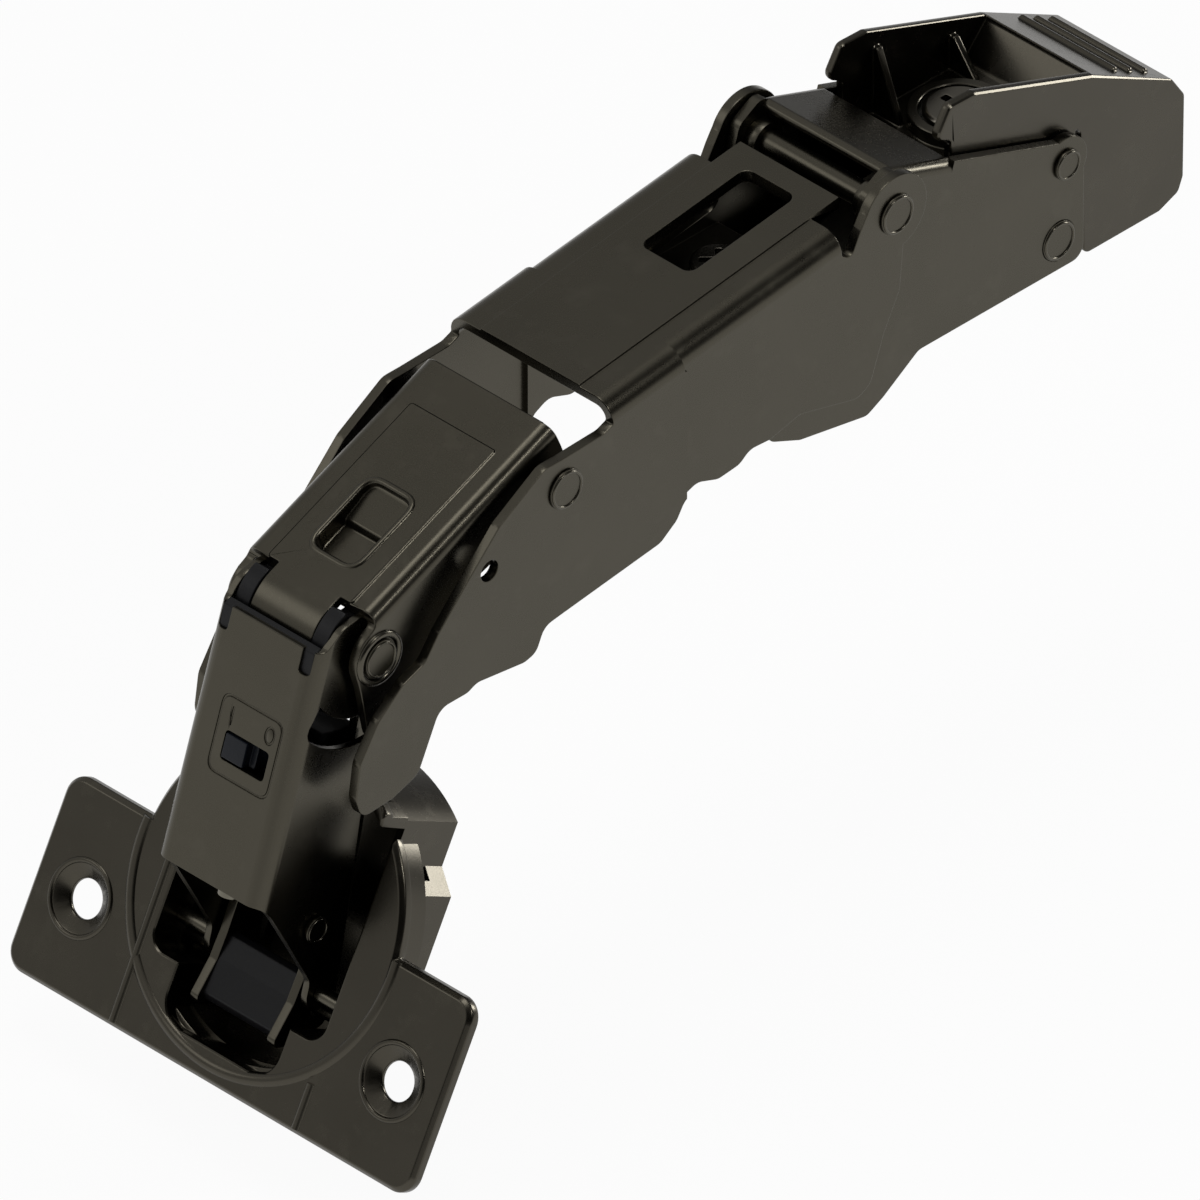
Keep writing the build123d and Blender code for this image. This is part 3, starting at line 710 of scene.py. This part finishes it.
def pocket_edge(start, end):
    """Edges of the cup's pocket, in the flange's face."""
    pocket_half = 12.6
    return (min(flange.height(start), flange.height(end)) > -0.05
            and max(abs(start.y), abs(end.y)) < pocket_half)


def deep_edge(start, end):
    """Edges deep in the cup."""
    return max(flange.height(start), flange.height(end)) < -4.0


def lever_edge(start, end):
    """The release lever's top edges along its outer sides."""
    return min(abs(start.y), abs(end.y)) > 8.25 and min(start.z, end.z) > 10.5


def bridge_corner(start, end):
    """Short edges where the base's bridge runs into its side plates."""
    return min(abs(start.y), abs(end.y)) > 8.3 and min(start.z, end.z) > 13.5 and min(start.x, end.x) > 7.0


how_eased = {
    "base_frame": {"folds": [(9.8, 1.3, -10.1, -0.9, base_bridge)], "bends": [(bridge_corner, 0.0)]},
    "inner_lever": {"squeeze": 0.94},
    "cup_pins": {"material": dark_rivet},
    "tail_pin": {"material": dark_rivet},
    "arm_channel": {"bends": [(arm_joggle, 0.0)]},
    "cup_body": {"bends": [(pocket_edge, 0.4), (deep_edge, 0.0)], "segments": 3},
    "clip_lever": {"bends": [(lever_edge, 0.5)], "edge": 0.22, "segments": 3},
}


def eased_copy(node, material=None, folds=(), squeeze=1.0, **how):
    """A copy of a solid with rounded folds and edges, in its slot's finish.

    squeeze narrows it across the hinge. folds lists what round_folds takes after the piece.
    """
    piece = new_piece("eased_" + node, merged_mesh(node))
    for corner in piece.data.vertices:
        corner.co.y *= squeeze
    for fold in folds:
        round_folds(piece, *fold)
    ease(piece, **how)
    slot = slot_of_node[node]
    return finish_piece(piece, material or finish_of_slot[slot], body_of_node[node], slot, node)


make_cover_link()
make_cover_plastics()
make_rivet_rings()
make_flange_beads()
make_middle_link()
for node_name in sorted(frame["nodes"]):
    if node_name not in ("cover_link", "middle_link"):
        eased_copy(node_name, **how_eased.get(node_name, {}))


# Floor, lights and camera

def area_light(name, place, size, power):
    """A square lamp, aimed at the middle of the hinge."""
    aim = Vector((0.05, 0.0, -0.01))
    data = bpy.data.lights.new(name, "AREA")
    data.shape = "SQUARE"
    data.size = size
    data.energy = power
    lamp = bpy.data.objects.new(name, data)
    lamp.location = place
    lamp.rotation_euler = (aim - Vector(place)).to_track_quat("-Z", "Y").to_euler()
    scene.collection.objects.link(lamp)


def make_floor():
    """Paper just under the hinge. The camera sees it almost white, and so do reflections."""
    white_to_camera = 0.94
    white_in_reflections = 0.92
    reach = 6.0
    low = cad_box[0][2] - 0.004
    mesh = bpy.data.meshes.new("studio floor")
    corners = [(x, y, low) for x, y in block(-reach, -reach, reach, reach)]
    mesh.from_pydata(corners, [], [(0, 1, 2, 3)])
    floor = new_piece("studio_floor", mesh)
    paper = Finish("pale studio paper")
    paper.set(Base_Color=(0.86, 0.86, 0.86, 1.0), Roughness=0.9)
    camera_ray = paper.node("LightPath", {}, {}, "Is Camera Ray")
    glossy_ray = paper.node("LightPath", {}, {}, "Is Glossy Ray")
    share = camera_ray * white_to_camera + glossy_ray * white_in_reflections
    lit = Sum(paper.tree, paper.shader.outputs[0])
    glow = paper.node("Emission", {}, {"Color": (1, 1, 1, 1), "Strength": 1.0})
    mixed = paper.node("MixShader", {}, {0: share, 1: lit, 2: glow})
    paper.feed(paper.tree.nodes["Material Output"].inputs["Surface"], mixed)
    mesh.materials.append(paper.material)


def make_world():
    """White to the camera. In reflections grey, dim behind and nearly black over the hinge's right side."""
    world = bpy.data.worlds.new("studio")
    scene.world = world
    world.use_nodes = True
    sky = Nodes(world.node_tree)
    back = sky.tree.nodes["Background"]
    back.inputs["Color"].default_value = (1, 1, 1, 1)
    seen = sky.node("LightPath", {}, {}, "Is Camera Ray")
    parts = sky.tree.nodes.new("ShaderNodeSeparateXYZ")
    sky.feed(parts.inputs[0], sky.node("TexCoord", {}, {}, "Generated"))

    def passage(axis, start, end):
        """0 before start and 1 after end along an axis of the direction, with a soft step between."""
        value = Sum(sky.tree, parts.outputs[axis])
        return sky.node("MapRange", {"interpolation_type": "SMOOTHSTEP"}, {"Value": value, 1: start, 2: end})

    right = passage("Y", 0.0, 0.42)
    above = passage("Z", -0.05, 0.2)
    behind = passage("X", -0.35, -0.8)
    reflected = (0.56 - right * above * 0.53) * (1.0 - behind * 0.7)
    sky.feed(back.inputs["Strength"], seen + (1.0 - seen) * reflected)


def make_camera():
    """Far away with a very long lens, so that the picture is close to an isometric view."""
    width = 122.24 * MM
    target = Vector((52.72, 0.0, -23.77)) * MM
    toward = Vector((1, 1, 1)).normalized()
    data = bpy.data.cameras.new("camera")
    data.sensor_width = 36.0
    data.lens = 1600.0
    data.clip_end = 100.0
    camera = bpy.data.objects.new("camera", data)
    camera.location = target + toward * width * data.lens / data.sensor_width
    camera.rotation_euler = (-toward).to_track_quat("-Z", "Y").to_euler()
    scene.collection.objects.link(camera)
    scene.camera = camera


make_floor()
make_world()
make_camera()
area_light("right spot", (-0.02, 0.44, 0.38), size=0.1, power=0.6)
area_light("back strip", (-0.56, 0.18, 0.14), size=0.14, power=1.6)
area_light("front left panel", (0.5, -0.4, 0.42), size=0.3, power=0.35)
area_light("top panel", (0.05, -0.1, 0.75), size=0.3, power=1.0)

scene.view_settings.view_transform = "Standard"
